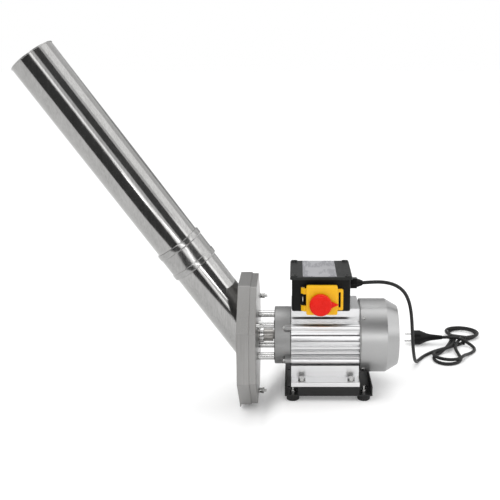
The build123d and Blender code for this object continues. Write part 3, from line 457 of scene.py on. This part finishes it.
def makeCord(look):
    curve = bpy.data.curves.new("powerCord", "CURVE")
    curve.dimensions = "3D"
    spline = curve.splines.new("NURBS")
    points = cordRoute + hankPoints(look) + tailRoute
    spline.points.add(len(points) - 1)
    for point, place in zip(spline.points, points):
        point.co = (*place, 1)
    spline.order_u = 3
    spline.use_endpoint_u = True
    spline.resolution_u = look["smoothness"]
    curve.bevel_depth = look["diameter"] / 2
    curve.bevel_resolution = look["roundness"]
    curve.use_fill_caps = True
    cord = bpy.data.objects.new("powerCord", curve)
    bpy.context.scene.collection.objects.link(cord)
    curve.materials.append(finishes["blackRubber"])
    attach(cord, "frame")
    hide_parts("power_cord", "cord_hank")


makeCord(cordLook)
print("cord laid")


def axisSpan(name, radius):
    # middle and length of a round node that lies along the feed tube
    low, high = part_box(name)
    spread = 2 * radius * abs(tubeAxis.x)
    return (low + high) / 2, ((high.z - low.z) - spread) / tubeAxis.z


# drawn tube with a rolled mouth
tubeLook = {
    "radius": 0.050,
    "wall": 0.0015,
    "rim": 0.0011,
    "rimLength": 0.0026,
    "rimSteps": 8,
    "shoulder": 0.0016,
    "chamfer": 0.0004,
    "steps": 192,
}


def makeTube(look):
    middle, length = axisSpan("upper_feed_tube", look["radius"])
    start, end = -length / 2, length / 2
    outer, inner = look["radius"], look["radius"] - look["wall"]
    rimStart = end - look["rimLength"]
    profile = [(start, inner), (start, outer), (rimStart - look["shoulder"], outer)]
    for k in range(look["rimSteps"] + 1):
        a = pi * k / look["rimSteps"]
        profile.append((end - look["rimLength"] / 2 - look["rimLength"] / 2 * cos(a),
                        outer + look["rim"] * sin(a)))
    profile += [(end, inner + look["chamfer"]), (end - look["chamfer"], inner)]
    bm = bmesh.new()
    turned(bm, middle, tubeAxis, profile, look["steps"])
    tube = finishMesh("upperTube", bm, finishes["polishedTube"], smoothAngle=40)
    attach(tube, "upper_tube")
    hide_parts("upper_feed_tube")


# collar with a bead at each end
collarLook = {
    "bore": 0.0500,
    "slip": 0.00005,
    "skin": 0.0520,
    "bead": 0.0536,
    "beadLength": 0.013,
    "corner": 0.0012,
    "slope": 0.001,
    "steps": 192,
}


def makeCollar(look):
    middle, length = axisSpan("tube_collar", look["bead"])
    start, end = -length / 2, length / 2
    skin, bead = look["skin"], look["bead"]
    corner, slope = look["corner"], look["slope"]
    corners = [(start, look["bore"]), (start, bead - corner), (start + corner, bead),
               (start + look["beadLength"], bead), (start + look["beadLength"] + slope, skin),
               (end - look["beadLength"] - slope, skin), (end - look["beadLength"], bead),
               (end - corner, bead), (end, bead - corner), (end, look["bore"] + look["slip"])]
    bm = bmesh.new()
    turned(bm, middle, tubeAxis, roundedProfile(corners, corner), look["steps"])
    collar = finishMesh("tubeCollar", bm, finishes["satinCollar"], smoothAngle=40)
    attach(collar, "frame")
    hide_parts("tube_collar")


makeTube(tubeLook)
makeCollar(collarLook)
print("feed tube made")

# pale table with the housing over its edge
stageLook = {
    "size": 30.0,
    "drop": 0.036,
    "edge": (-0.148, -0.098),
    "edgeSteps": 12,
    "sink": 0.0001,
    "colour": (0.88, 0.88, 0.88),
    "shade": 0.985,
    "glow": 0.16,
}


def makeStage(look):
    material, tree, shader = startMaterial("paleTable")
    cloud = noiseFrom(tree, mapped(tree, (1, 1, 1)), scale=3.0, detail=4)
    tone = look["colour"]
    colour = blended(tree, cloud, tone, tuple(c * look["shade"] for c in tone))
    tree.links.new(colour, shader.inputs["Base Color"])
    shader.inputs["Roughness"].default_value = 0.9
    shader.inputs["Specular IOR Level"].default_value = 0.1
    shader.inputs["Emission Color"].default_value = (1, 1, 1, 1)
    shader.inputs["Emission Strength"].default_value = look["glow"]
    bm = bmesh.new()
    left, right = look["edge"]
    across = [(-look["size"], tableZ - look["drop"])]
    for k in range(look["edgeSteps"] + 1):
        t = k / look["edgeSteps"]
        across.append((left + (right - left) * t, tableZ - look["drop"] * (1 + cos(pi * t)) / 2))
    across.append((look["size"], tableZ))
    rows = []
    for y in (-look["size"], look["size"]):
        rows.append([bm.verts.new((x, y, z - look["sink"])) for x, z in across])
    for k in range(len(across) - 1):
        bm.faces.new((rows[0][k], rows[0][k + 1], rows[1][k + 1], rows[1][k]))
    table = finishMesh("paleTable", bm, material, smoothAngle=60)


makeStage(stageLook)

lightLook = {
    "world": 1.0,
    # name, place, aim, size, power
    "lamps": (("keyLight", (-1.6, -1.8, 2.4), (-0.1, 0, 0.2), (1.6, 1.2), 14),
              ("topLight", (0.3, 0.6, 2.8), (0, 0, 0.1), (2.0, 1.4), 16),
              ("sideLight", (2.6, -0.8, 1.2), (0, 0, 0.1), (1.0, 1.6), 8),
              ("frontLight", (0.30, -1.9, 0.60), (0, 0, 0.11), (1.3, 0.14), 3.2)),
    # cards seen only in reflections: turn about the feed tube, angle covered, distance, length,
    # tone, glow
    "cards": (("lowCard", -31, 46, 1.0, 1.7, 0.07, 0),
              ("streakCard", 0, 7, 1.9, 2.2, 0, 2.4),
              ("highCard", 34, 32, 2.0, 2.4, 0.09, 0),
              ("rightCard", 80, 36, 1.6, 2.4, 0, 1.7)),
    "cardStart": (0.20, -0.96, 0.17),
    # grey card behind, seen in surfaces that face up: middle, half width, half height, tone
    "backCard": ((0.10, 1.90, 0.86), 0.55, 0.48, 0.34),
    "tubeMiddle": (-0.40, 0, 0.43),
}


def makeLights(look):
    world = bpy.data.worlds.new("studio")
    bpy.context.scene.world = world
    world.use_nodes = True
    world.node_tree.nodes["Background"].inputs["Color"].default_value = (1, 1, 1, 1)
    world.node_tree.nodes["Background"].inputs["Strength"].default_value = look["world"]
    for name, place, aim, size, power in look["lamps"]:
        light = bpy.data.lights.new(name, "AREA")
        light.shape = "RECTANGLE"
        light.size, light.size_y = size
        light.energy = power
        lamp = bpy.data.objects.new(name, light)
        lamp.location = place
        lamp.rotation_euler = (Vector(aim) - Vector(place)).to_track_quat("-Z", "Y").to_euler()
        bpy.context.scene.collection.objects.link(lamp)


def makeCard(name, middle, wide, long, tone, glow):
    material, tree, shader = startMaterial(name)
    shader.inputs["Base Color"].default_value = (tone, tone, tone, 1)
    shader.inputs["Specular IOR Level"].default_value = 0
    shader.inputs["Emission Color"].default_value = (1, 1, 1, 1)
    shader.inputs["Emission Strength"].default_value = glow
    bm = bmesh.new()
    corners = [middle + wide * a + long * b for a, b in ((-1, -1), (1, -1), (1, 1), (-1, 1))]
    bm.faces.new([bm.verts.new(corner) for corner in corners])
    card = finishMesh(name, bm, material)
    card.visible_camera = False
    card.visible_diffuse = False
    card.visible_shadow = False


def makeCards(look):
    for name, turn, angle, distance, length, tone, glow in look["cards"]:
        toward = Matrix.Rotation(radians(turn), 3, tubeAxis) @ Vector(look["cardStart"]).normalized()
        middle = Vector(look["tubeMiddle"]) + toward * distance
        long = (tubeAxis - toward * tubeAxis.dot(toward)).normalized() * length / 2
        wide = long.cross(toward).normalized() * distance * tan(radians(angle / 2))
        makeCard(name, middle, wide, long, tone, glow)
    middle, halfWidth, halfHeight, tone = look["backCard"]
    makeCard("backCard", Vector(middle), Vector((halfWidth, 0, 0)), Vector((0, 0, halfHeight)), tone, 0)


makeLights(lightLook)
makeCards(lightLook)
print("stage and light made")
